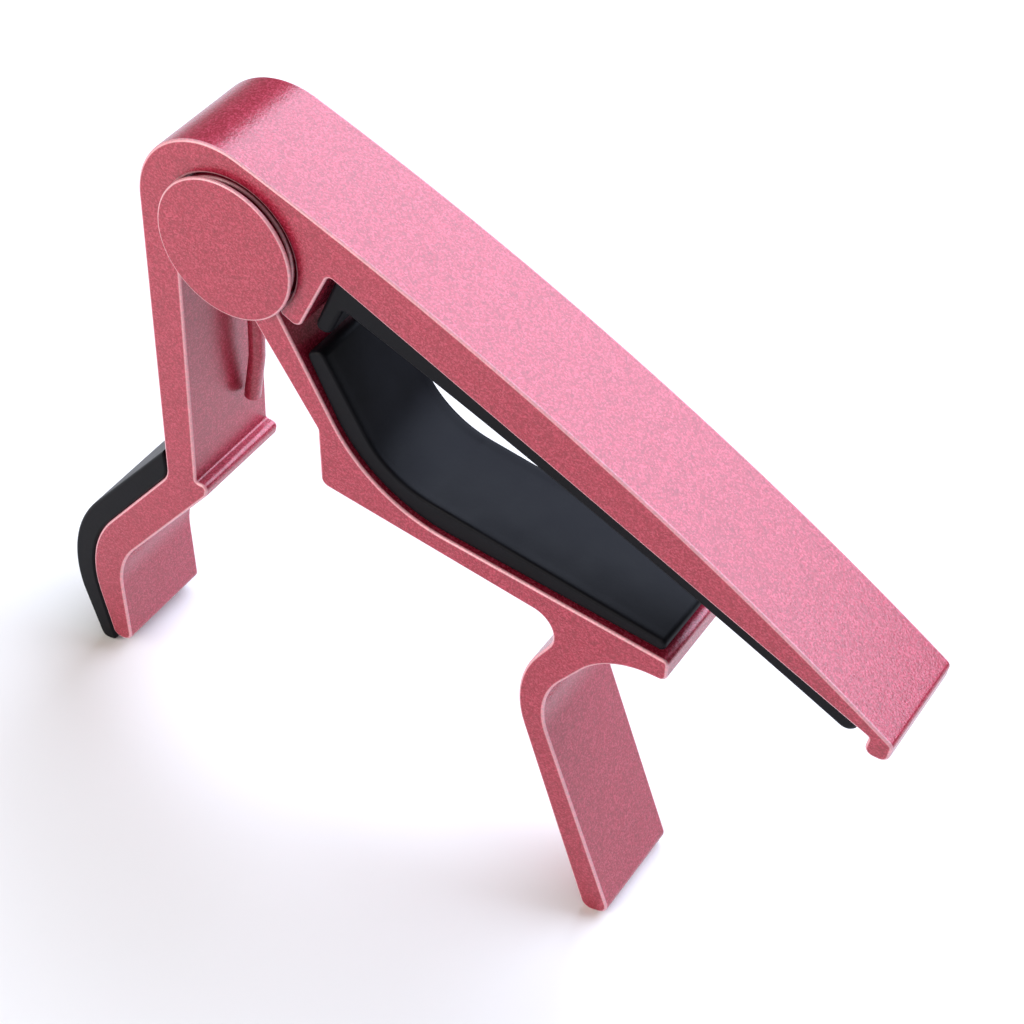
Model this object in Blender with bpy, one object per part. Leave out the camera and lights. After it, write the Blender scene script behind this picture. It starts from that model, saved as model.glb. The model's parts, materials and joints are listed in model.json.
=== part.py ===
"""Spring-loaded guitar capo, standing on the tips of its trigger and its handle.

Every outline lies in the X-Z plane and is extruded across the width, along Y.
Outlines are drawn in the capo's own plane: the hinge axis is at x = z = 0, the
bar runs towards +X and the handle hangs straight down.  An empty on the hinge
axis then leans the whole capo until both tips stand on z = 0.

All lengths are in millimetres and become metres when a mesh is made.
"""
import math

import bmesh
import bpy
from mathutils import Matrix, Vector

MM = 0.001

# --- overall sizes ---------------------------------------------------------
WIDTH = 12.0                 # both metal arms are extrusions of this width
GAP = 0.3                    # between a rubber pad and the metal behind it
FINE_GAP = 0.1               # between the small pieces of the hinge
EDGE = 0.3                   # chamfer along the edges of the metal arms
ARC_STEP = 9.0               # degrees between the points of a rounded corner
HINGE_STEP = 7.5             # the same round the socket and the knuckle
TURN_STEPS = 48              # points round a turned piece
SHARP_ANGLE = 30.0           # degrees; gentler edges are shaded smooth

# --- hinge -----------------------------------------------------------------
SOCKET_R = 7.2               # socket in the top arm
KNUCKLE_R = 6.9              # knuckle of the lower jaw, which turns in it
EAR_THICKNESS = 2.4          # each side of the knuckle, beside the spring
COIL_POCKET_R = 5.6          # pocket for the coil between the two ears
SLOT_R = 8.0                 # the slot runs out past the knuckle
WEB_ANGLES = (-82.0, -35.0)  # the neck's root keeps its full width here
PIN_R = 2.9
PIN_BORE_R = 3.0
PIN_CHAMFER = 0.3
STEM_R = 1.2                 # stem of a cap, pressed into the pin's end
STEM_LENGTH = 1.9
WASHER_R = 5.9
WASHER_THICKNESS = 0.65
CAP_R = 7.38
CAP_THICKNESS = 0.45
CAP_EDGE = 0.15              # chamfer round the face that shows
CAP_BACK_EDGE = 0.1

# --- torsion spring --------------------------------------------------------
WIRE_R = 0.85
COIL_R = 4.35                # centre line of the wire
COIL_TURNS = 2.52
COIL_PITCH = 1.9
LEG_HOLE_CLEARANCE = 0.3
JAW_LEG_LENGTH = 6.0
WIRE_SIDES = 10
HOLE_STATIONS = (0.0, 0.01, 0.99, 1.0)
JAW_LEG_STATIONS = (0.3, 0.65, 0.95, 1.0)
COIL_STEPS = 24              # points in one turn of the coil
WIRE_END_SHARE = 0.6         # the wire narrows to this share of its radius at both ends
HANDLE_LEG = [(-5.0, -26.4), (-4.85, -25.4), (-4.25, -21.4), (-4.15, -20.0),
              (-4.1, -16.3), (-4.25, -9.0), (-4.35, -3.0)]

# --- corners of the outlines: x, z, corner radius --------------------------
HEAD_CORNER = (-10.42, 13.98, 8.7)
BAR_TOP_START = (1.6, 9.49)
BAR_TOP_END = (68.9, -23.35)
BAR_TOP_RISE = 2.3           # how far the bar's top bows up off a straight line
BAR_TOP_STEPS = 14
BAR_TIP = [(69.4, -23.7, 0.6), (69.15, -25.95, 0.95), (66.75, -25.95, 0.85)]
UNDERSIDE_END = (67.05, -23.85, 0.3)
UNDERSIDE_START = (10.7, 1.15, 0.6)
LIP_END = [(7.3, -6.4, 0.9), (5.3, -5.45, 0.4)]
LIP_INNER_ANGLE = -43.0      # where the socket starts, at the lip
HANDLE_INNER_X = -6.1
LEDGE = [(-6.1, -32.4, 0.3), (-4.65, -32.45, 0.6), (-4.95, -33.85, 0.7)]
FLARE_INNER = [(-17.6, -50.2, 10.0), (-16.85, -62.2, 1.2)]
FLARE_TIP = (-19.25, -62.3, 1.0)
FLARE_OUTER = [(-22.3, -49.8, 14.0), (-9.75, -33.5, 3.0)]

NECK_TOP = (5.05, -5.75, 0.5)
NECK_TOP_ANGLE = -46.5       # where the knuckle ends, at the neck's upper face
FLOOR_BEND = (15.0, -23.1, 16.0)
JAW_END = [(47.45, -26.35, 0.5), (47.45, -28.95, 0.8)]
TRIGGER_INNER = [(41.3, -29.1, 9.0), (33.9, -39.4, 8.5)]
TRIGGER_TIP = [(44.15, -66.1, 1.2), (41.1, -67.0, 1.2)]
TRIGGER_OUTER = [(30.9, -38.4, 12.0), (37.1, -28.15, 2.6)]
HEEL = [(9.35, -24.35, 1.0), (9.1, -17.6, 0.5)]
NECK_BOTTOM = (1.56, -6.71)  # the neck's underside leaves the knuckle here

# --- rubber ----------------------------------------------------------------
GRIP_THICKNESS = 2.2
GRIP_WEDGE = (-10.12, -30.35)    # the grip's thin upper edge
GRIP_END = [(-21.0, -63.6, 0.9), (-19.1, -63.3, 0.6)]
GRIP_EDGE = 0.35
STRING_PAD_WIDTH = 9.6
STRING_PAD_EDGE = 0.55
STRING_PAD_TIP = [(65.95, -23.8, 0.7), (64.9, -26.05, 1.2)]
STRING_PAD_ARCH = 0.7        # its lower face arches up by this much
STRING_PAD_STEPS = 7
STRING_PAD_HEEL = (12.2, -3.65)
STRING_PAD_TAB = [(11.3, -3.4, 0.3), (9.75, -6.85, 0.75), (8.0, -6.75, 0.7)]
STRING_PAD_ROOT = (10.85, 0.7, 0.6)
NECK_PAD_WIDTH = 10.8
NECK_PAD_EDGE = 0.5
NECK_PAD_TOP = [(9.3, -8.45, 0.9), (16.55, -20.35, 10.0), (46.7, -24.65, 0.6)]
NECK_PAD_ENDS = [(46.7, -25.97, 0.6), (7.56, -9.42, 0.7)]

# --- stance ----------------------------------------------------------------
TRIGGER_FOOT = (42.35, -66.68)
GRIP_FOOT = (-20.75, -63.4)

PINK = (0.47, 0.105, 0.165)
RUBBER = (0.014, 0.014, 0.016)
STEEL = (0.56, 0.55, 0.53)


# --- points of outlines ----------------------------------------------------
def arc(radius, start, end, centre=(0.0, 0.0), step=ARC_STEP):
    """Points on a circle from one angle to another, in degrees."""
    count = max(1, math.ceil(abs(end - start) / step))
    angles = [math.radians(start + (end - start) * i / count) for i in range(count + 1)]
    return [(centre[0] + radius * math.cos(a), centre[1] + radius * math.sin(a)) for a in angles]


def bowed(start, end, rise, count):
    """Points on a shallow arc that rises off the straight line to its left."""
    a, b = Vector(start[:2]), Vector(end[:2])
    across = (b - a).orthogonal().normalized()
    points = []
    for i in range(count + 1):
        t = i / count
        points.append(tuple(a.lerp(b, t) + across * rise * 4.0 * t * (1.0 - t)))
    return points


def fillet(before, corner, after, radius):
    """Points of the arc that rounds one corner, or the corner itself."""
    c = Vector(corner)
    to_before = (Vector(before) - c).normalized()
    to_after = (Vector(after) - c).normalized()
    half = to_before.angle(to_after) / 2.0
    if radius <= 0.0:
        return [tuple(c)]
    reach = radius / math.tan(half)
    centre = c + (to_before + to_after).normalized() * radius / math.sin(half)
    first = c + to_before * reach - centre
    last = c + to_after * reach - centre
    turn = first.angle_signed(last)
    count = max(2, math.ceil(abs(math.degrees(turn)) / ARC_STEP))
    return [tuple(centre + Matrix.Rotation(-turn * i / count, 2) @ first) for i in range(count + 1)]


def rounded(corners, closed=True):
    """Round each (x, z, radius) corner; a plain (x, z) point stays as it is."""
    points = []
    last = len(corners) - 1
    for i, corner in enumerate(corners):
        if len(corner) == 2 or (not closed and i in (0, last)):
            points.append(tuple(corner[:2]))
            continue
        before = corners[i - 1][:2]
        after = corners[(i + 1) % len(corners)][:2]
        points += fillet(before, corner[:2], after, corner[2])
    return points


def offset(points, distance, closed=True):
    """Move every point of an outline to its left by a distance, with mitres."""
    moved = []
    last = len(points) - 1
    for i, point in enumerate(points):
        here = Vector(point)
        before = Vector(points[i - 1]) if closed or i > 0 else None
        after = Vector(points[(i + 1) % len(points)]) if closed or i < last else None
        sides = [(here - before).normalized()] if before else []
        sides += [(after - here).normalized()] if after else []
        normals = [Vector((-side.y, side.x)) for side in sides]
        mean = sum(normals, Vector((0.0, 0.0))).normalized()
        moved.append(tuple(here + mean * distance / mean.dot(normals[0])))
    return moved


def anticlockwise(points):
    """The outline in anticlockwise order, X to the right and Z up."""
    pairs = zip(points, points[1:] + points[:1])
    area = sum(a[0] * b[1] - b[0] * a[1] for a, b in pairs)
    return points if area > 0.0 else points[::-1]


# --- solids ----------------------------------------------------------------
def new_object(name, bm, finish, parent):
    """Scale a mesh to metres and link it under its parent."""
    bmesh.ops.scale(bm, vec=(MM, MM, MM), verts=bm.verts)
    bmesh.ops.recalc_face_normals(bm, faces=bm.faces)
    mesh = bpy.data.meshes.new(name)
    bm.to_mesh(mesh)
    bm.free()
    mesh.shade_smooth()
    mesh.set_sharp_from_angle(angle=math.radians(SHARP_ANGLE))
    if finish:
        mesh.materials.append(finish)
    obj = bpy.data.objects.new(name, mesh)
    bpy.context.collection.objects.link(obj)
    obj.parent = parent
    return obj


def join_loops(bm, loops):
    """Faces between successive loops of vertices that match one to one."""
    for low, high in zip(loops, loops[1:]):
        count = len(low)
        for i in range(count):
            j = (i + 1) % count
            bm.faces.new((low[i], low[j], high[j], high[i]))


def extruded(name, outline, width, edge, finish, parent):
    """An outline extruded along Y, with a chamfer round both side faces."""
    points = anticlockwise(outline)
    inset = offset(points, edge) if edge else points
    half = width / 2.0
    rings = [(-half, inset), (-half + edge, points), (half - edge, points), (half, inset)]
    if not edge:
        rings = [rings[0], rings[-1]]
    bm = bmesh.new()
    loops = [[bm.verts.new((x, y, z)) for x, z in ring] for y, ring in rings]
    bm.faces.new(loops[0])
    bm.faces.new(loops[-1][::-1])
    join_loops(bm, loops)
    return new_object(name, bm, finish, parent)


def turned(name, profile, finish, parent):
    """A profile of (radius, y) points turned about the hinge axis."""
    bm = bmesh.new()
    edges = []
    verts = [bm.verts.new((r, y, 0.0)) for r, y in profile]
    for a, b in zip(verts, verts[1:] + verts[:1]):
        edges.append(bm.edges.new((a, b)))
    bmesh.ops.spin(bm, geom=verts + edges, cent=(0, 0, 0), axis=(0, 1, 0),
                   angle=2.0 * math.pi, steps=TURN_STEPS, use_merge=True)
    bmesh.ops.remove_doubles(bm, verts=bm.verts, dist=1e-4)
    bmesh.ops.dissolve_degenerate(bm, edges=bm.edges, dist=1e-5)
    return new_object(name, bm, finish, parent)


def tube(name, path, radius, finish, parent):
    """A round wire along a path, narrowed at both ends."""
    path = [Vector(p) for p in path]
    bm = bmesh.new()
    loops = []
    up = Vector((0.0, 1.0, 0.0))
    for i, point in enumerate(path):
        along = (path[min(i + 1, len(path) - 1)] - path[max(i - 1, 0)]).normalized()
        up = (up - along * up.dot(along)).normalized()
        side = along.cross(up)
        share = WIRE_END_SHARE if i in (0, len(path) - 1) else 1.0
        loop = []
        for k in range(WIRE_SIDES):
            a = 2.0 * math.pi * k / WIRE_SIDES
            outward = up * math.cos(a) + side * math.sin(a)
            loop.append(bm.verts.new(point + outward * radius * share))
        loops.append(loop)
    bm.faces.new(loops[0][::-1])
    bm.faces.new(loops[-1])
    join_loops(bm, loops)
    return new_object(name, bm, finish, parent)


def subtract(obj, cutter):
    """Cut one solid out of another; the cutter stays as a hidden guide."""
    cutter.hide_render = True
    cutter.display_type = 'WIRE'
    cut = obj.modifiers.new(cutter.name, 'BOOLEAN')
    cut.operation = 'DIFFERENCE'
    cut.solver = 'EXACT'
    cut.object = cutter


# --- materials and stance --------------------------------------------------
def material(name, colour, roughness, metallic):
    """A Principled material of one colour."""
    finish = bpy.data.materials.new(name)
    finish.use_nodes = True
    shader = finish.node_tree.nodes['Principled BSDF']
    shader.inputs['Base Color'].default_value = (*colour, 1.0)
    shader.inputs['Roughness'].default_value = roughness
    shader.inputs['Metallic'].default_value = metallic
    return finish


def empty(name, parent=None):
    """An empty on the hinge axis."""
    marker = bpy.data.objects.new(name, None)
    marker.empty_display_size = 5.0 * MM
    bpy.context.collection.objects.link(marker)
    marker.parent = parent
    return marker


def lean_frame():
    """The empty that leans the capo until both of its tips are level."""
    trigger, grip = Vector(TRIGGER_FOOT), Vector(GRIP_FOOT)
    frame = empty('capo_frame')
    frame.rotation_euler.y = math.atan2(trigger.y - grip.y, trigger.x - grip.x)
    return frame


def stand(frame, pieces):
    """Put the lowest tip on z = 0 and centre the capo over the origin."""
    bpy.context.view_layer.update()
    corners = [piece.matrix_world @ v.co for piece in pieces for v in piece.data.vertices]
    across = [corner.x for corner in corners]
    frame.location.x = -(min(across) + max(across)) / 2.0
    frame.location.z = -min(corner.z for corner in corners)


# --- the top arm: bar, head, handle ---------------------------------------
def top_arm(finish, parent):
    """Bar, hinge head and flared handle: one extrusion."""
    socket_end = math.degrees(math.acos(HANDLE_INNER_X / SOCKET_R))
    socket = arc(SOCKET_R, LIP_INNER_ANGLE, 360.0 - socket_end, step=HINGE_STEP)
    bar_top = bowed(BAR_TOP_START, BAR_TOP_END, BAR_TOP_RISE, BAR_TOP_STEPS)
    corners = [HEAD_CORNER, *bar_top,
               *BAR_TIP, UNDERSIDE_END, UNDERSIDE_START, *LIP_END, *socket,
               *LEDGE, *FLARE_INNER, FLARE_TIP, *FLARE_OUTER]
    return extruded('top_arm', rounded(corners), WIDTH, EDGE, finish, parent)


def handle_grip(finish, parent):
    """Rubber skin over the back of the flare; it runs out thin at its top."""
    tip, bend, root = FLARE_TIP, FLARE_OUTER[0], FLARE_OUTER[1]
    straight = rounded([tip, bend, root], closed=False)
    outer = offset(straight, GAP + GRIP_THICKNESS, closed=False)[1:-1]
    hugging = rounded([tip, bend, root, (HEAD_CORNER[0], HEAD_CORNER[1])], closed=False)
    inner = offset(hugging, GAP, closed=False)[1:-1]
    outline = rounded([*GRIP_END, *inner, GRIP_WEDGE, *outer[::-1]])
    return extruded('handle_grip', outline, WIDTH, GRIP_EDGE, finish, parent)


def string_pad(finish, parent):
    """Rubber under the bar, with a tab that turns down beside the lip."""
    arch = bowed(STRING_PAD_HEEL, STRING_PAD_TIP[1], STRING_PAD_ARCH, STRING_PAD_STEPS)[:-1]
    corners = [*STRING_PAD_TIP, *arch[::-1], *STRING_PAD_TAB, STRING_PAD_ROOT]
    return extruded('string_pad', rounded(corners), STRING_PAD_WIDTH, STRING_PAD_EDGE,
                    finish, parent)


# --- the lower jaw ---------------------------------------------------------
def lower_jaw(finish, parent):
    """Knuckle, neck, jaw and trigger: one extrusion, slotted for the spring."""
    end = math.degrees(math.atan2(NECK_BOTTOM[1], NECK_BOTTOM[0])) + 360.0
    knuckle = arc(KNUCKLE_R, NECK_TOP_ANGLE, end, step=HINGE_STEP)
    corners = [*knuckle, *HEEL[::-1], *TRIGGER_OUTER[::-1],
               *TRIGGER_TIP[::-1], *TRIGGER_INNER[::-1], *JAW_END[::-1], FLOOR_BEND, NECK_TOP]
    jaw = extruded('lower_jaw', rounded(corners), WIDTH, EDGE, finish, parent)
    web_start, web_end = WEB_ANGLES
    pocket = arc(SLOT_R, web_end, web_start + 360.0) + arc(COIL_POCKET_R, web_start, web_end)
    slot_width = WIDTH - 2.0 * EAR_THICKNESS
    subtract(jaw, extruded('cutter_slot', pocket, slot_width, 0.0, None, parent))
    reach = WIDTH
    bore = [(0.0, -reach), (PIN_BORE_R, -reach), (PIN_BORE_R, reach), (0.0, reach)]
    subtract(jaw, turned('cutter_bore', bore, None, parent))
    subtract(jaw, leg_hole(parent))
    return jaw


def jaw_leg(extra=0.0):
    """Both ends of the spring leg that is held in the jaw, as (x, z)."""
    angle = math.radians(180.0 - 360.0 * COIL_TURNS)
    start = Vector((math.cos(angle), math.sin(angle))) * COIL_R
    along = Vector((math.sin(angle), -math.cos(angle)))
    return start, start + along * (JAW_LEG_LENGTH + extra)


def leg_hole(parent):
    """The blind hole in the neck's root that holds the spring's short leg."""
    start, end = jaw_leg(LEG_HOLE_CLEARANCE)
    y = -COIL_PITCH * COIL_TURNS / 2.0
    points = [start.lerp(end, t) for t in HOLE_STATIONS]
    path = [(point.x, y, point.y) for point in points]
    return tube('cutter_leg_hole', path, WIRE_R + LEG_HOLE_CLEARANCE, None, parent)


def neck_pad(finish, parent):
    """Curved rubber on the jaw, from the neck's middle to the jaw's end."""
    floor = rounded([NECK_TOP, FLOOR_BEND, JAW_END[0]], closed=False)
    bend = offset(floor, GAP, closed=False)[1:-1]
    corners = [*NECK_PAD_TOP, NECK_PAD_ENDS[0], *bend[::-1], NECK_PAD_ENDS[1]]
    return extruded('neck_pad', rounded(corners), NECK_PAD_WIDTH, NECK_PAD_EDGE, finish, parent)


# --- hinge pieces ----------------------------------------------------------
def hinge_pin(finish, parent):
    """Pin through the knuckle, drilled at both ends for the stems of the caps."""
    half = WIDTH / 2.0 + WASHER_THICKNESS - FINE_GAP
    depth = half - STEM_LENGTH - GAP
    hole = STEM_R + FINE_GAP
    rim = PIN_R - PIN_CHAMFER
    profile = [(0.0, -depth), (hole, -depth), (hole, -half), (rim, -half),
               (PIN_R, -half + PIN_CHAMFER), (PIN_R, half - PIN_CHAMFER), (rim, half), (hole, half),
               (hole, depth), (0.0, depth)]
    return turned('hinge_pin', profile, finish, parent)


def washer(name, side, finish, parent):
    """Flat ring that holds a cap clear of the arms."""
    low = side * (WIDTH / 2.0 + FINE_GAP / 2.0)
    high = side * (WIDTH / 2.0 + WASHER_THICKNESS - FINE_GAP / 2.0)
    profile = [(PIN_R + FINE_GAP, low), (WASHER_R, low), (WASHER_R, high), (PIN_R + FINE_GAP, high)]
    return turned(name, profile, finish, parent)


def pivot_cap(name, side, finish, parent):
    """Round cap with a stem that is pressed into the pin."""
    inner = WIDTH / 2.0 + WASHER_THICKNESS + FINE_GAP / 2.0
    outer = WIDTH / 2.0 + WASHER_THICKNESS + CAP_THICKNESS
    stem = inner - STEM_LENGTH
    profile = [(0.0, stem), (STEM_R, stem), (STEM_R, inner), (CAP_R - CAP_BACK_EDGE, inner),
               (CAP_R, inner + CAP_BACK_EDGE), (CAP_R, outer - CAP_EDGE), (CAP_R - CAP_EDGE, outer),
               (0.0, outer)]
    return turned(name, [(r, side * y) for r, y in profile], finish, parent)


def torsion_spring(finish, parent):
    """Coil round the pin, one leg down the handle and one in the jaw."""
    half = COIL_PITCH * COIL_TURNS / 2.0
    path = [(x, half, z) for x, z in HANDLE_LEG]
    steps = round(COIL_TURNS * COIL_STEPS)
    for i in range(steps + 1):
        t = i / steps
        angle = math.radians(180.0 - 360.0 * COIL_TURNS * t)
        path.append((COIL_R * math.cos(angle), half - 2.0 * half * t, COIL_R * math.sin(angle)))
    start, end = jaw_leg()
    for t in JAW_LEG_STATIONS:
        point = start.lerp(end, t)
        path.append((point.x, -half, point.y))
    return tube('torsion_spring', path, WIRE_R, finish, parent)


def build():
    """Make every piece of the capo."""
    for obj in list(bpy.data.objects):
        bpy.data.objects.remove(obj, do_unlink=True)
    pink = material('pink_metallic', PINK, 0.42, 0.55)
    rubber = material('black_rubber', RUBBER, 0.55, 0.0)
    steel = material('pin_steel', STEEL, 0.3, 1.0)
    frame = lean_frame()
    jaw_hinge = empty('jaw_hinge', frame)
    outer_pieces = [top_arm(pink, frame), handle_grip(rubber, frame), lower_jaw(pink, jaw_hinge)]
    string_pad(rubber, frame)
    neck_pad(rubber, jaw_hinge)
    hinge_pin(steel, jaw_hinge)
    for side, hand in ((-1.0, 'left'), (1.0, 'right')):
        washer('cap_washer_' + hand, side, steel, jaw_hinge)
        pivot_cap('pivot_cap_' + hand, side, pink, jaw_hinge)
    torsion_spring(pink, jaw_hinge)
    stand(frame, outer_pieces)


build()
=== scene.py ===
"""Looks of the guitar capo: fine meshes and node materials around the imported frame.

Outlines are drawn in millimetres in the capo's own plane, with the hinge axis at
x = z = 0 and the bar towards +X.  PLACE turns them into the frame, in metres.
"""
import json
import math

import bmesh
import bpy
from mathutils import Matrix, Vector


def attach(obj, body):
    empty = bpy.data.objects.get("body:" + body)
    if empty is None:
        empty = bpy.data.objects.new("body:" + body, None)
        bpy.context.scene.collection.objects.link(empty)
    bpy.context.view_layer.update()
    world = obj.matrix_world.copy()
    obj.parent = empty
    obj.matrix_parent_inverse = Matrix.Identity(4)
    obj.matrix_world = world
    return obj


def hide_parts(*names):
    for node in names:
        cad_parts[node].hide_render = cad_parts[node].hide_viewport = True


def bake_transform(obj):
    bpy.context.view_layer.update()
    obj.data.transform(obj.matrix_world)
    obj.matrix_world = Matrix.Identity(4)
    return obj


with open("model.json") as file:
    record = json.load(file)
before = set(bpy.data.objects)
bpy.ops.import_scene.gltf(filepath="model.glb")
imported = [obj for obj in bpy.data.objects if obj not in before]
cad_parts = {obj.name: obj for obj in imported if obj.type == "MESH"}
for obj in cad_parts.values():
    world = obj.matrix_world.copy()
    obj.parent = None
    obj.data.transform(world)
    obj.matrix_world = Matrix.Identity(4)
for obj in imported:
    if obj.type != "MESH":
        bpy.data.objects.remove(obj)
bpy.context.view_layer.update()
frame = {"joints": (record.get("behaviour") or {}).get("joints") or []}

MM = 0.001
ARC_STEP = 3.0               # degrees between the points of a rounded corner
SMALL_RADIUS, SMALL_ARC_STEP = 1.5, 9.0    # corners up to this radius get wider steps
TURN_STEPS = 128             # points round a turned piece
ROUND_STEPS = 4              # bands in the rounding along an edge
SHARP_ANGLE = 40.0           # degrees; a sharper edge is not smoothed over
MERGE, SLIVER = 1e-4, 1e-5   # points and edges this close or short are merged away

# --- sizes of the metal arms ----------------------------------------------
WIDTH = 12.0
EDGE = 0.3
SOCKET_R, KNUCKLE_R = 7.2, 6.9
EAR_THICKNESS = 2.4
COIL_POCKET_R, SLOT_R = 5.6, 8.0
WEB_ANGLES = (-82.0, -35.0)
HEAD_CORNER = (-10.42, 13.98, 8.7)
BAR_TOP_START, BAR_TOP_END = (1.6, 9.49), (68.9, -23.35)
BAR_TOP_RISE, BAR_TOP_STEPS = 2.3, 48
BAR_TIP = [(69.4, -23.7, 0.6), (69.15, -25.95, 0.95), (66.75, -25.95, 0.85)]
UNDERSIDE_END, UNDERSIDE_START = (67.05, -23.85, 0.3), (10.7, 1.15, 0.6)
LIP_END = [(7.3, -6.4, 0.9), (5.3, -5.45, 0.4)]
LIP_INNER_ANGLE = -43.0
HANDLE_INNER_X = -6.1
LEDGE = [(-6.1, -32.4, 0.3), (-4.65, -32.45, 0.6), (-4.95, -33.85, 0.7)]
FLARE_INNER = [(-17.6, -50.2, 10.0), (-16.85, -62.2, 1.2)]
FLARE_TIP = (-19.25, -62.3, 1.0)
FLARE_OUTER = [(-22.3, -49.8, 14.0), (-9.75, -33.5, 3.0)]
NECK_TOP, NECK_TOP_ANGLE = (5.05, -5.75, 0.5), -46.5
FLOOR_BEND = (15.0, -23.1, 16.0)
JAW_END = [(47.45, -26.35, 0.5), (47.45, -28.95, 0.8)]
TRIGGER_INNER = [(41.3, -29.1, 9.0), (33.9, -39.4, 8.5)]
TRIGGER_TIP = [(44.15, -66.1, 1.2), (41.1, -67.0, 1.2)]
TRIGGER_OUTER = [(30.9, -38.4, 12.0), (37.1, -28.15, 2.6)]
HEEL = [(9.35, -24.35, 1.0), (9.1, -17.6, 0.5)]
NECK_BOTTOM = (1.56, -6.71)

# --- hinge pieces and spring -----------------------------------------------
PIN_R, PIN_BORE_R, PIN_CHAMFER = 2.9, 3.0, 0.3
WASHER_R, WASHER_THICKNESS = 5.9, 0.65
CAP_R, CAP_THICKNESS, CAP_EDGE = 7.38, 0.45, 0.24
CAP_BACK_EDGE = 0.1
FINE_GAP = 0.1
WIRE_R, COIL_R, COIL_TURNS, COIL_PITCH = 0.85, 4.35, 2.52, 1.9
WIRE_SIDES, COIL_STEPS = 24, 72      # points round the wire, and along each turn
WIRE_END_SHARES = (0.6, 0.9)         # the wire's radius at its last two points
CURVE_SPANS = 8                      # steps between two points of a smooth curve
JAW_LEG_STATIONS = (0.2, 0.4, 0.6, 0.8, 0.95, 0.98, 1.0)
LEG_HOLE_STATIONS = (0.0, 0.01, 0.02, 0.98, 0.99, 1.0)
JAW_LEG_LENGTH, LEG_HOLE_CLEARANCE = 6.0, 0.3
HANDLE_LEG = [(-5.0, -26.4), (-4.85, -25.4), (-4.25, -21.4), (-4.15, -20.0),
              (-4.1, -16.3), (-4.25, -9.0), (-4.35, -3.0)]

# --- rubber ----------------------------------------------------------------
SEAT = 0.02                  # a rubber pad's back stands off the metal by this much
GRIP_THICKNESS = 2.2
CAD_GAP = 0.3
GRIP_WEDGE = (-10.12, -30.35)
GRIP_END = [(-21.0, -63.6, 0.9), (-19.1, -63.3, 0.6)]
GRIP_EDGE = 0.35
STRING_PAD_WIDTH, STRING_PAD_EDGE = 9.6, 0.5
STRING_PAD_TIP = [(65.95, -23.8, 0.7), (64.9, -26.05, 1.2)]
STRING_PAD_ARCH, STRING_PAD_STEPS = 0.7, 24
STRING_PAD_HEEL = (12.2, -3.65)
STRING_PAD_TAB = [(11.3, -3.4, 0.3), (9.75, -6.85, 0.75), (8.0, -6.75, 0.7)]
STRING_PAD_ROOT = (10.85, 0.7, 0.6)
NECK_PAD_WIDTH, NECK_PAD_EDGE = 10.8, 0.32
NECK_PAD_TOP = [(9.3, -8.45, 0.9), (16.55, -20.35, 10.0), (46.7, -24.65, 0.6)]
NECK_PAD_ENDS = [(46.7, -25.97, 0.6), (7.56, -9.42, 0.7)]
DISH_DEPTH, DISH_STEPS = 0.22, 24     # how far the neck pad's face dips between its rims
DISH_RUN_OUT = 4.0                   # the dip fades out over this length at each end
RIM_WIDTH = 0.6                      # plain rim beside the dip

# --- stance: the two tips are level -----------------------------------------
TRIGGER_FOOT, GRIP_FOOT = (42.35, -66.68), (-20.75, -63.4)
LEAN = math.atan2(TRIGGER_FOOT[1] - GRIP_FOOT[1], TRIGGER_FOOT[0] - GRIP_FOOT[0])
PIVOT = Vector(frame["joints"][0]["pos_m"])
PLACE = Matrix.Translation(PIVOT) @ Matrix.Rotation(LEAN, 4, 'Y') @ Matrix.Scale(MM, 4)

# --- grain of the surfaces, in features per metre ----------------------------
FINE_FLAKES, COARSE_FLAKES, METAL_GRAIN = 6800.0, 2700.0, 4200.0
RUBBER_CLOUD, RUBBER_GRAIN = 260.0, 2400.0
TURNING_LINES, LINE_STRETCH = 900.0, (1.0, 12.0, 1.0)

# --- the photograph's view, in the capo's own plane, and the studio in metres --
VIEW_RIGHT = Vector((0.8455, 0.5329, 0.0342))
VIEW_FORWARD = Vector((-0.364, 0.6219, -0.6933))
VIEW_FROM = (110.2, -142.2, 135.2)
LENS, CLIP_START = 86.0, 0.005
WORLD_STRENGTH = 0.28
LAMP_TARGET = Vector((0.0, 0.0, 0.04))
LAMPS = (  # name, place, size, energy, tint
    ('overhead', (0.09, 0.26, 0.38), (0.7, 0.34), 4.2, (0.83, 0.92, 1.15)),
    ('front', (-0.2, -0.32, 0.16), (0.32, 0.32), 1.3, (1.0, 0.95, 0.9)))
FLOOR_SIZE = 6.0


# --- points of outlines ------------------------------------------------------
def arc(radius, start, end, step=ARC_STEP):
    """Points on a circle round the hinge, from one angle to another."""
    count = max(1, math.ceil(abs(end - start) / step))
    angles = [math.radians(start + (end - start) * i / count) for i in range(count + 1)]
    return [(radius * math.cos(a), radius * math.sin(a)) for a in angles]


def bowed(start, end, rise, count):
    """Points on a shallow arc that rises off the straight line to its left."""
    a, b = Vector(start[:2]), Vector(end[:2])
    across = (b - a).orthogonal().normalized()
    ts = [i / count for i in range(count + 1)]
    return [tuple(a.lerp(b, t) + across * rise * 4.0 * t * (1.0 - t)) for t in ts]


def fillet(before, corner, after, radius):
    """Points of the arc that rounds one corner."""
    c = Vector(corner)
    to_before = (Vector(before) - c).normalized()
    to_after = (Vector(after) - c).normalized()
    half = to_before.angle(to_after) / 2.0
    centre = c + (to_before + to_after).normalized() * radius / math.sin(half)
    first = c + to_before * radius / math.tan(half) - centre
    last = c + to_after * radius / math.tan(half) - centre
    turn = first.angle_signed(last)
    step = ARC_STEP if radius > SMALL_RADIUS else SMALL_ARC_STEP
    count = max(3, math.ceil(abs(math.degrees(turn)) / step))
    turns = [Matrix.Rotation(-turn * i / count, 2) for i in range(count + 1)]
    return [tuple(centre + turned_by @ first) for turned_by in turns]


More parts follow.
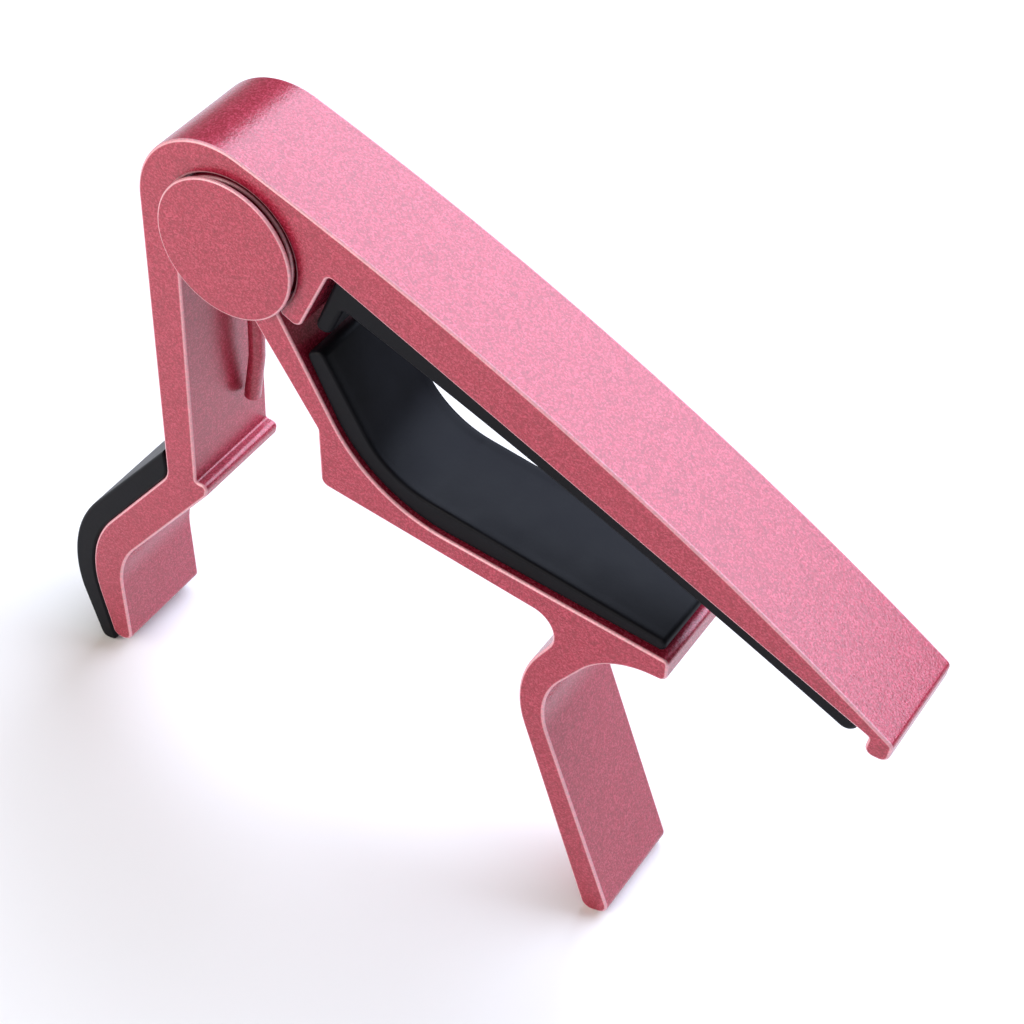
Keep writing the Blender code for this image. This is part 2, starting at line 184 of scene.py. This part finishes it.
def rounded(corners, closed=True):
    """Round each (x, z, radius) corner; a plain (x, z) point stays as it is."""
    points = []
    last = len(corners) - 1
    for i, corner in enumerate(corners):
        if len(corner) == 2 or (not closed and i in (0, last)):
            points.append(tuple(corner[:2]))
            continue
        before = corners[i - 1][:2]
        after = corners[(i + 1) % len(corners)][:2]
        points += fillet(before, corner[:2], after, corner[2])
    return points


def offset(points, distance, closed=True):
    """Move an outline's points to its left, by one distance or by a list, with mitres."""
    distances = distance if isinstance(distance, list) else [distance] * len(points)
    moved = []
    last = len(points) - 1
    for i, point in enumerate(points):
        here = Vector(point)
        before = Vector(points[i - 1]) if closed or i > 0 else None
        after = Vector(points[(i + 1) % len(points)]) if closed or i < last else None
        sides = [(here - before).normalized()] if before else []
        sides += [(after - here).normalized()] if after else []
        normals = [Vector((-side.y, side.x)) for side in sides]
        mean = sum(normals, Vector((0.0, 0.0))).normalized()
        moved.append(tuple(here + mean * distances[i] / mean.dot(normals[0])))
    return moved


def anticlockwise(points):
    """The outline in anticlockwise order, X to the right and Z up."""
    pairs = zip(points, points[1:] + points[:1])
    area = sum(a[0] * b[1] - b[0] * a[1] for a, b in pairs)
    return points if area > 0.0 else points[::-1]


# --- solids ------------------------------------------------------------------
def new_object(name, bm, finish=None):
    """Turn a mesh in millimetres into an object in the frame, with its material."""
    bm.transform(PLACE)
    bmesh.ops.recalc_face_normals(bm, faces=bm.faces)
    mesh = bpy.data.meshes.new(name)
    bm.to_mesh(mesh)
    bm.free()
    if finish:
        mesh.materials.append(finish)
    obj = bpy.data.objects.new(name, mesh)
    bpy.context.scene.collection.objects.link(obj)
    return obj


def smooth(obj):
    """Smooth shading that keeps flat faces flat and sharp edges sharp."""
    obj.data.shade_smooth()
    obj.data.set_sharp_from_angle(angle=math.radians(SHARP_ANGLE))
    weighted = obj.modifiers.new('weighted', 'WEIGHTED_NORMAL')
    weighted.keep_sharp = True


def join_loops(bm, loops):
    """Faces between successive loops of vertices that match one to one."""
    for low, high in zip(loops, loops[1:]):
        for i in range(len(low)):
            j = (i + 1) % len(low)
            bm.faces.new((low[i], low[j], high[j], high[i]))


def rounding(half, edge):
    """(y, inset) of the rings that round the edge at y = -half, from the side face inwards."""
    angles = [math.pi / 2.0 * i / ROUND_STEPS for i in range(ROUND_STEPS + 1)]
    return [(-half + edge * (1.0 - math.cos(a)), edge * (1.0 - math.sin(a))) for a in angles]


def lofted(name, rings, finish):
    """Rings of (y, outline) joined into one closed solid; 'rim' marks its rounded edges, which the
    pink metal paints with a highlight.
    """
    bm = bmesh.new()
    rim = bm.verts.layers.float.new('rim')
    loops = [[bm.verts.new((x, y, z)) for x, z in ring] for y, ring in rings]
    # the rounding bands are marked 'rim' for the pink metal's painted edge highlight
    painted_highlight = loops[1:ROUND_STEPS] + loops[-ROUND_STEPS:-1] if len(loops) > 2 else []
    for vert in (v for loop in painted_highlight for v in loop):
        vert[rim] = 1.0
    bm.faces.new(loops[0])
    bm.faces.new(loops[-1][::-1])
    join_loops(bm, loops)
    return new_object(name, bm, finish)


def extruded(name, outline, width, edge, finish=None):
    """An outline extruded along Y, rounded along both side faces."""
    points = anticlockwise(outline)
    if not edge:
        return lofted(name, [(-width / 2.0, points), (width / 2.0, points)], finish)
    near = [(y, offset(points, inset)) for y, inset in rounding(width / 2.0, edge)]
    far = [(-y, ring) for y, ring in near[::-1]]
    return lofted(name, near + far, finish)


def turned(name, profile, finish=None, painted_highlight=()):
    """A profile of (radius, y) points turned about the hinge axis; 'rim' marks the points that get
    a painted highlight along the edge, which are given by their places in the profile."""
    bm = bmesh.new()
    rim = bm.verts.layers.float.new('rim')
    verts = [bm.verts.new((r, y, 0.0)) for r, y in profile]
    for i in painted_highlight:
        verts[i][rim] = 1.0
    edges = [bm.edges.new(pair) for pair in zip(verts, verts[1:] + verts[:1])]
    bmesh.ops.spin(bm, geom=verts + edges, cent=(0, 0, 0), axis=(0, 1, 0),
                   angle=2.0 * math.pi, steps=TURN_STEPS, use_merge=True)
    bmesh.ops.remove_doubles(bm, verts=bm.verts, dist=MERGE)
    bmesh.ops.dissolve_degenerate(bm, edges=bm.edges, dist=SLIVER)
    return new_object(name, bm, finish)


def tube(name, path, radius, finish=None):
    """A round wire along a path, a little thinner at both ends."""
    path = [Vector(p) for p in path]
    bm = bmesh.new()
    loops = []
    up = Vector((0.0, 1.0, 0.0))
    last = len(path) - 1
    end, near_end = WIRE_END_SHARES
    shares = {0: end, 1: near_end, last - 1: near_end, last: end}
    for i, point in enumerate(path):
        along = (path[min(i + 1, last)] - path[max(i - 1, 0)]).normalized()
        up = (up - along * up.dot(along)).normalized()
        side = along.cross(up)
        loop = []
        for k in range(WIRE_SIDES):
            a = 2.0 * math.pi * k / WIRE_SIDES
            outward = up * math.cos(a) + side * math.sin(a)
            loop.append(bm.verts.new(point + outward * radius * shares.get(i, 1.0)))
        loops.append(loop)
    bm.faces.new(loops[0][::-1])
    bm.faces.new(loops[-1])
    join_loops(bm, loops)
    return new_object(name, bm, finish)


def cut(obj, other):
    """Cut another solid out of a piece; the other is used up."""
    step = obj.modifiers.new('cut', 'BOOLEAN')
    step.operation = 'DIFFERENCE'
    step.solver = 'EXACT'
    step.object = other
    graph = bpy.context.evaluated_depsgraph_get()
    result = bpy.data.meshes.new_from_object(obj.evaluated_get(graph))
    obj.modifiers.clear()
    obj.data = result
    bpy.data.objects.remove(other, do_unlink=True)


def softened(corners):
    """A smooth curve through (x, z) points."""
    points = []
    for i in range(len(corners) - 1):
        p0 = Vector(corners[max(i - 1, 0)])
        p1, p2 = Vector(corners[i]), Vector(corners[i + 1])
        p3 = Vector(corners[min(i + 2, len(corners) - 1)])
        for k in range(CURVE_SPANS):
            t = k / CURVE_SPANS
            a, b = (p2 - p0) * 0.5, (p3 - p1) * 0.5
            points.append(tuple(p1 * (2*t**3 - 3*t*t + 1) + a * (t**3 - 2*t*t + t)
                                + p2 * (3*t*t - 2*t**3) + b * (t**3 - t*t)))
    return points + [tuple(corners[-1])]


# --- materials ---------------------------------------------------------------
def links(tree, *pairs):
    """Join (node, output) to (node, input) in a node tree."""
    for (a, out), (b, into) in pairs:
        tree.links.new(a.outputs[out], b.inputs[into])


def textured(name, base, roughness):
    """A new material, with its node tree, shader and the piece's coordinates."""
    finish = bpy.data.materials.new(name)
    finish.use_nodes = True
    tree = finish.node_tree
    shader = tree.nodes['Principled BSDF']
    shader.inputs['Base Color'].default_value = (*base, 1.0)
    shader.inputs['Roughness'].default_value = roughness
    where = tree.nodes.new('ShaderNodeTexCoord')
    return finish, tree, shader, where


def noise(tree, where, scale, detail=2.0, stretch=None):
    """Noise in the piece's own coordinates; scale is in features per metre."""
    node = tree.nodes.new('ShaderNodeTexNoise')
    node.inputs['Scale'].default_value = scale
    node.inputs['Detail'].default_value = detail
    source, out = where, 'Object'
    if stretch:
        source, out = tree.nodes.new('ShaderNodeMapping'), 'Vector'
        source.inputs['Scale'].default_value = stretch
        links(tree, ((where, 'Object'), (source, 'Vector')))
    links(tree, ((source, out), (node, 'Vector')))
    return node


def flakes(tree, where, scale):
    """Small cells, each with a tone of its own."""
    node = tree.nodes.new('ShaderNodeTexVoronoi')
    node.inputs['Scale'].default_value = scale
    split = tree.nodes.new('ShaderNodeSeparateColor')
    links(tree, ((where, 'Object'), (node, 'Vector')), ((node, 'Color'), (split, 'Color')))
    return split


def ramp(tree, source, out, stops):
    """A colour ramp fed by one value."""
    node = tree.nodes.new('ShaderNodeValToRGB')
    elements = node.color_ramp.elements
    while len(elements) < len(stops):
        elements.new(0.5)
    for element, (place, colour) in zip(elements, stops):
        element.position = place
        element.color = (*colour, 1.0)
    links(tree, ((source, out), (node, 'Fac')))
    return node


def blended(tree, a, b, mode):
    """Two colours multiplied or added."""
    node = tree.nodes.new('ShaderNodeMixRGB')
    node.blend_type = mode
    node.inputs['Fac'].default_value = 1.0
    links(tree, (a, (node, 'Color1')), (b, (node, 'Color2')))
    return node


def bumped(tree, shader, height, out, distance, strength):
    """Fine relief on a shader, from a height; the distance is in metres."""
    node = tree.nodes.new('ShaderNodeBump')
    node.inputs['Distance'].default_value = distance
    node.inputs['Strength'].default_value = strength
    links(tree, ((height, out), (node, 'Height')), ((node, 'Normal'), (shader, 'Normal')))
    return node


def pink_metal():
    """Aluminium with a fine pink sparkle under a clear coat, with a painted highlight along its
    rounded edges.
    """
    finish, tree, shader, where = textured('pink_sparkle_metal', (0.6, 0.03, 0.08), 0.62)
    shader.inputs['Metallic'].default_value = 0.45
    shader.inputs['Specular IOR Level'].default_value = 0.0
    shader.inputs['Coat Weight'].default_value = 1.0
    shader.inputs['Coat IOR'].default_value = 1.6
    shader.inputs['Coat Roughness'].default_value = 0.27
    fine = flakes(tree, where, FINE_FLAKES)
    tones = ramp(tree, fine, 'Red', [(0.0, (0.29, 0.008, 0.027)),
                                     (0.5, (0.39, 0.016, 0.045)),
                                     (1.0, (0.54, 0.05, 0.1))])
    coarse = flakes(tree, where, COARSE_FLAKES)
    shades = ramp(tree, coarse, 'Red', [(0.0, (0.88, 0.84, 0.85)), (1.0, (1.0, 1.0, 1.0))])
    mix = blended(tree, (tones, 'Color'), (shades, 'Color'), 'MULTIPLY')
    # painted highlight: paler pink is added wherever 'rim' marks a rounded edge
    edge = tree.nodes.new('ShaderNodeAttribute')
    edge.attribute_name = 'rim'
    painted_highlight = ramp(tree, edge, 'Fac', [(0.0, (0.0, 0.0, 0.0)), (1.0, (0.42, 0.36, 0.38))])
    pale = blended(tree, (mix, 'Color'), (painted_highlight, 'Color'), 'ADD')
    rough = ramp(tree, fine, 'Green', [(0.0, (0.54,) * 3), (1.0, (0.7,) * 3)])
    links(tree, ((pale, 'Color'), (shader, 'Base Color')),
          ((rough, 'Color'), (shader, 'Roughness')))
    grain = bumped(tree, shader, noise(tree, where, METAL_GRAIN), 'Fac', 0.00005, 0.5)
    links(tree, ((grain, 'Normal'), (shader, 'Coat Normal')))
    return finish


def black_rubber():
    """Moulded rubber with a satin skin."""
    finish, tree, shader, where = textured('black_satin_rubber', (0.005, 0.005, 0.007), 0.45)
    shader.inputs['Specular IOR Level'].default_value = 0.09
    cloud = noise(tree, where, RUBBER_CLOUD, 4.0)
    tones = ramp(tree, cloud, 'Fac', [(0.3, (0.004, 0.004, 0.0055)),
                                      (0.75, (0.0065, 0.0065, 0.009))])
    rough = ramp(tree, cloud, 'Fac', [(0.3, (0.4,) * 3), (0.7, (0.48,) * 3)])
    links(tree, ((tones, 'Color'), (shader, 'Base Color')),
          ((rough, 'Color'), (shader, 'Roughness')))
    bumped(tree, shader, noise(tree, where, RUBBER_GRAIN, 3.0), 'Fac', 0.00003, 0.25)
    return finish


def pin_steel():
    """Ground steel with turning lines round the hinge axis."""
    finish, tree, shader, where = textured('pin_ground_steel', (0.56, 0.55, 0.53), 0.3)
    shader.inputs['Metallic'].default_value = 1.0
    lines = noise(tree, where, TURNING_LINES, stretch=LINE_STRETCH)
    tones = ramp(tree, lines, 'Fac', [(0.3, (0.45, 0.44, 0.43)), (0.7, (0.62, 0.61, 0.59))])
    links(tree, ((tones, 'Color'), (shader, 'Base Color')))
    bumped(tree, shader, lines, 'Fac', 0.00003, 0.3)
    return finish


# --- camera, light and floor -------------------------------------------------
def studio():
    """Camera at the photograph's viewing angle, two soft lamps and a white floor."""
    camera = bpy.data.objects.new('camera', bpy.data.cameras.new('camera'))
    bpy.context.scene.collection.objects.link(camera)
    up = VIEW_RIGHT.cross(VIEW_FORWARD)
    turn = Matrix((VIEW_RIGHT, up, -VIEW_FORWARD)).transposed().to_4x4()
    place = PLACE @ Matrix.Translation(VIEW_FROM) @ turn
    camera.matrix_world = Matrix.LocRotScale(place.to_translation(), place.to_quaternion(), None)
    camera.data.lens = LENS
    camera.data.clip_start = CLIP_START
    bpy.context.scene.camera = camera

    world = bpy.data.worlds.new('studio')
    world.use_nodes = True
    background = world.node_tree.nodes['Background']
    background.inputs['Color'].default_value = (1.0, 1.0, 1.0, 1.0)
    background.inputs['Strength'].default_value = WORLD_STRENGTH
    bpy.context.scene.world = world
    bpy.context.scene.view_settings.view_transform = 'Standard'

    for name, at, size, energy, tint in LAMPS:
        lamp = bpy.data.objects.new(name, bpy.data.lights.new(name, 'AREA'))
        lamp.data.shape = 'RECTANGLE'
        lamp.data.size, lamp.data.size_y = size
        lamp.data.energy = energy
        lamp.data.color = tint
        lamp.location = at
        aim = LAMP_TARGET - Vector(at)
        lamp.rotation_euler = aim.to_track_quat('-Z', 'Y').to_euler()
        bpy.context.scene.collection.objects.link(lamp)

    bpy.ops.mesh.primitive_plane_add(size=FLOOR_SIZE, location=(0.0, 0.0, 0.0))
    floor = bpy.context.object
    floor.name = 'floor'
    paint = bpy.data.materials.new('floor_white')
    paint.use_nodes = True
    shader = paint.node_tree.nodes['Principled BSDF']
    shader.inputs['Base Color'].default_value = (0.89, 0.87, 0.83, 1.0)
    shader.inputs['Roughness'].default_value = 0.8
    floor.data.materials.append(paint)


def finish_piece(piece, node, body):
    """Shade a piece, let it stand for its CAD node and, if a body is given, ride on it."""
    smooth(piece)
    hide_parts(node)
    if body:
        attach(piece, body)


# --- metal arms --------------------------------------------------------------
def top_arm(pink):
    """Bar, hinge head and flared handle."""
    socket_end = 360.0 - math.degrees(math.acos(HANDLE_INNER_X / SOCKET_R))
    bar_top = bowed(BAR_TOP_START, BAR_TOP_END, BAR_TOP_RISE, BAR_TOP_STEPS)
    corners = [HEAD_CORNER, *bar_top, *BAR_TIP, UNDERSIDE_END, UNDERSIDE_START, *LIP_END,
               *arc(SOCKET_R, LIP_INNER_ANGLE, socket_end), *LEDGE, *FLARE_INNER, FLARE_TIP,
               *FLARE_OUTER]
    arm = extruded('bar_and_handle', rounded(corners), WIDTH, EDGE, pink)
    finish_piece(arm, 'top_arm', 'arm')


def jaw_leg(extra=0.0):
    """Both ends of the spring leg that is held in the jaw, as (x, z)."""
    angle = math.radians(180.0 - 360.0 * COIL_TURNS)
    start = Vector((math.cos(angle), math.sin(angle))) * COIL_R
    along = Vector((math.sin(angle), -math.cos(angle)))
    return start, start + along * (JAW_LEG_LENGTH + extra)


def lower_jaw(pink):
    """Knuckle, neck, jaw and trigger, slotted for the spring."""
    end = math.degrees(math.atan2(NECK_BOTTOM[1], NECK_BOTTOM[0])) + 360.0
    corners = [*arc(KNUCKLE_R, NECK_TOP_ANGLE, end), *HEEL[::-1], *TRIGGER_OUTER[::-1],
               *TRIGGER_TIP[::-1], *TRIGGER_INNER[::-1], *JAW_END[::-1], FLOOR_BEND, NECK_TOP]
    jaw = extruded('jaw_and_trigger', rounded(corners), WIDTH, EDGE, pink)
    web_start, web_end = WEB_ANGLES
    pocket = arc(SLOT_R, web_end, web_start + 360.0) + arc(COIL_POCKET_R, web_start, web_end)
    cut(jaw, extruded('cutter', pocket, WIDTH - 2.0 * EAR_THICKNESS, 0.0))
    bore = [(0.0, -WIDTH), (PIN_BORE_R, -WIDTH), (PIN_BORE_R, WIDTH), (0.0, WIDTH)]
    cut(jaw, turned('cutter', bore))
    start, tip = jaw_leg(LEG_HOLE_CLEARANCE)
    y = -COIL_PITCH * COIL_TURNS / 2.0
    points = [start.lerp(tip, t) for t in LEG_HOLE_STATIONS]
    cut(jaw, tube('cutter', [(p.x, y, p.y) for p in points], WIRE_R + LEG_HOLE_CLEARANCE))
    finish_piece(jaw, 'lower_jaw', 'jaw')


# --- rubber ------------------------------------------------------------------
def handle_grip(rubber):
    """Skin over the back of the flare."""
    tip, bend, root = FLARE_TIP, FLARE_OUTER[0], FLARE_OUTER[1]
    straight = rounded([tip, bend, root], closed=False)
    outer = offset(straight, CAD_GAP + GRIP_THICKNESS, closed=False)[1:-1]
    hugging = rounded([tip, bend, root, HEAD_CORNER[:2]], closed=False)
    inner = offset(hugging, SEAT, closed=False)[1:-1]
    outline = rounded([*GRIP_END, *inner, GRIP_WEDGE, *outer[::-1]])
    grip = extruded('handle_grip_skin', outline, WIDTH, GRIP_EDGE, rubber)
    finish_piece(grip, 'handle_grip', 'arm')


def string_pad(rubber):
    """Rubber under the bar, with a tab that turns down beside the lip."""
    arch = bowed(STRING_PAD_HEEL, STRING_PAD_TIP[1], STRING_PAD_ARCH, STRING_PAD_STEPS)[:-1]
    corners = [*STRING_PAD_TIP, *arch[::-1], *STRING_PAD_TAB, STRING_PAD_ROOT]
    pad = extruded('string_pad_rubber', rounded(corners), STRING_PAD_WIDTH,
                   STRING_PAD_EDGE, rubber)
    finish_piece(pad, 'string_pad', 'arm')


def neck_pad(rubber):
    """Curved rubber on the jaw, with a dished face between two rims."""
    floor = rounded([NECK_TOP, FLOOR_BEND, JAW_END[0]], closed=False)
    bend = offset(floor, SEAT, closed=False)[1:-1]
    face = rounded([NECK_PAD_ENDS[1], *NECK_PAD_TOP, NECK_PAD_ENDS[0]], closed=False)[1:-1]
    back = [*rounded([NECK_PAD_TOP[-1], NECK_PAD_ENDS[0], bend[-1]], closed=False)[1:-1],
            *bend[::-1],
            *rounded([bend[0], NECK_PAD_ENDS[1], NECK_PAD_TOP[0]], closed=False)[1:-1]]
    outline = face + back
    run = [0.0]
    for a, b in zip(face, face[1:]):
        run.append(run[-1] + math.dist(a, b))
    inward = [DISH_DEPTH * min(1.0, r / DISH_RUN_OUT, (run[-1] - r) / DISH_RUN_OUT) for r in run]
    inward += [0.0] * len(back)
    sign = -1.0 if anticlockwise(outline) is outline else 1.0
    half = NECK_PAD_WIDTH / 2.0
    edges = rounding(half, NECK_PAD_EDGE)
    rings = [(y, offset(outline, -sign * inset)) for y, inset in edges]
    dish_half = half - RIM_WIDTH
    for i in range(DISH_STEPS + 1):
        t = -1.0 + 2.0 * i / DISH_STEPS
        share = (1.0 - t * t) ** 0.5 if abs(t) < 1.0 else 0.0
        rings.append((dish_half * t, offset(outline, [-sign * d * share for d in inward])))
    rings += [(-y, ring) for y, ring in rings[:len(edges)][::-1]]
    pad = lofted('neck_pad_rubber', rings, rubber)
    finish_piece(pad, 'neck_pad', 'jaw')


# --- hinge -------------------------------------------------------------------
def hinge(pink, steel):
    """Pin, and a washer and a round cap on each side."""
    side_face = WIDTH / 2.0
    half = side_face + WASHER_THICKNESS - FINE_GAP
    rim = PIN_R - PIN_CHAMFER
    pin = turned('hinge_pin_steel', [(0.0, -half), (rim, -half), (PIN_R, -half + PIN_CHAMFER),
                                     (PIN_R, half - PIN_CHAMFER), (rim, half), (0.0, half)], steel)
    finish_piece(pin, 'hinge_pin', 'jaw')
    low, high = side_face + FINE_GAP / 2.0, side_face + WASHER_THICKNESS - FINE_GAP / 2.0
    hole = PIN_R + FINE_GAP
    ring = [(hole, low), (WASHER_R, low), (WASHER_R, high), (hole, high)]
    inner, outer = high + FINE_GAP, side_face + WASHER_THICKNESS + CAP_THICKNESS
    back = [(0.0, inner), (CAP_R - CAP_BACK_EDGE, inner), (CAP_R, inner + CAP_BACK_EDGE)]
    face = [(CAP_R - inset, -y) for y, inset in rounding(outer, CAP_EDGE)][::-1]
    disc = [*back, *face, (0.0, outer)]
    # the cap's rounded face edge is marked for the painted highlight
    painted_highlight = range(len(back), len(back) + len(face) - 1)
    for side, hand in ((-1.0, 'left'), (1.0, 'right')):
        washer = turned('washer_' + hand, [(r, side * y) for r, y in ring], steel)
        finish_piece(washer, 'cap_washer_' + hand, 'jaw')
        cap = turned('cap_' + hand, [(r, side * y) for r, y in disc], pink, painted_highlight)
        finish_piece(cap, 'pivot_cap_' + hand, 'jaw')


def torsion_spring(pink):
    """Coil round the pin, one leg down the handle and one in the jaw."""
    half = COIL_PITCH * COIL_TURNS / 2.0
    path = [(x, half, z) for x, z in softened(HANDLE_LEG)]
    steps = round(COIL_TURNS * COIL_STEPS)
    for i in range(1, steps + 1):
        t = i / steps
        angle = math.radians(180.0 - 360.0 * COIL_TURNS * t)
        path.append((COIL_R * math.cos(angle), half - 2.0 * half * t, COIL_R * math.sin(angle)))
    start, tip = jaw_leg()
    for t in JAW_LEG_STATIONS:
        point = start.lerp(tip, t)
        path.append((point.x, -half, point.y))
    spring = tube('spring_wire', path, WIRE_R, pink)
    finish_piece(spring, 'torsion_spring', None)
    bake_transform(spring)


studio()
pink, rubber, steel = pink_metal(), black_rubber(), pin_steel()
top_arm(pink)
lower_jaw(pink)
handle_grip(rubber)
string_pad(rubber)
neck_pad(rubber)
hinge(pink, steel)
torsion_spring(pink)
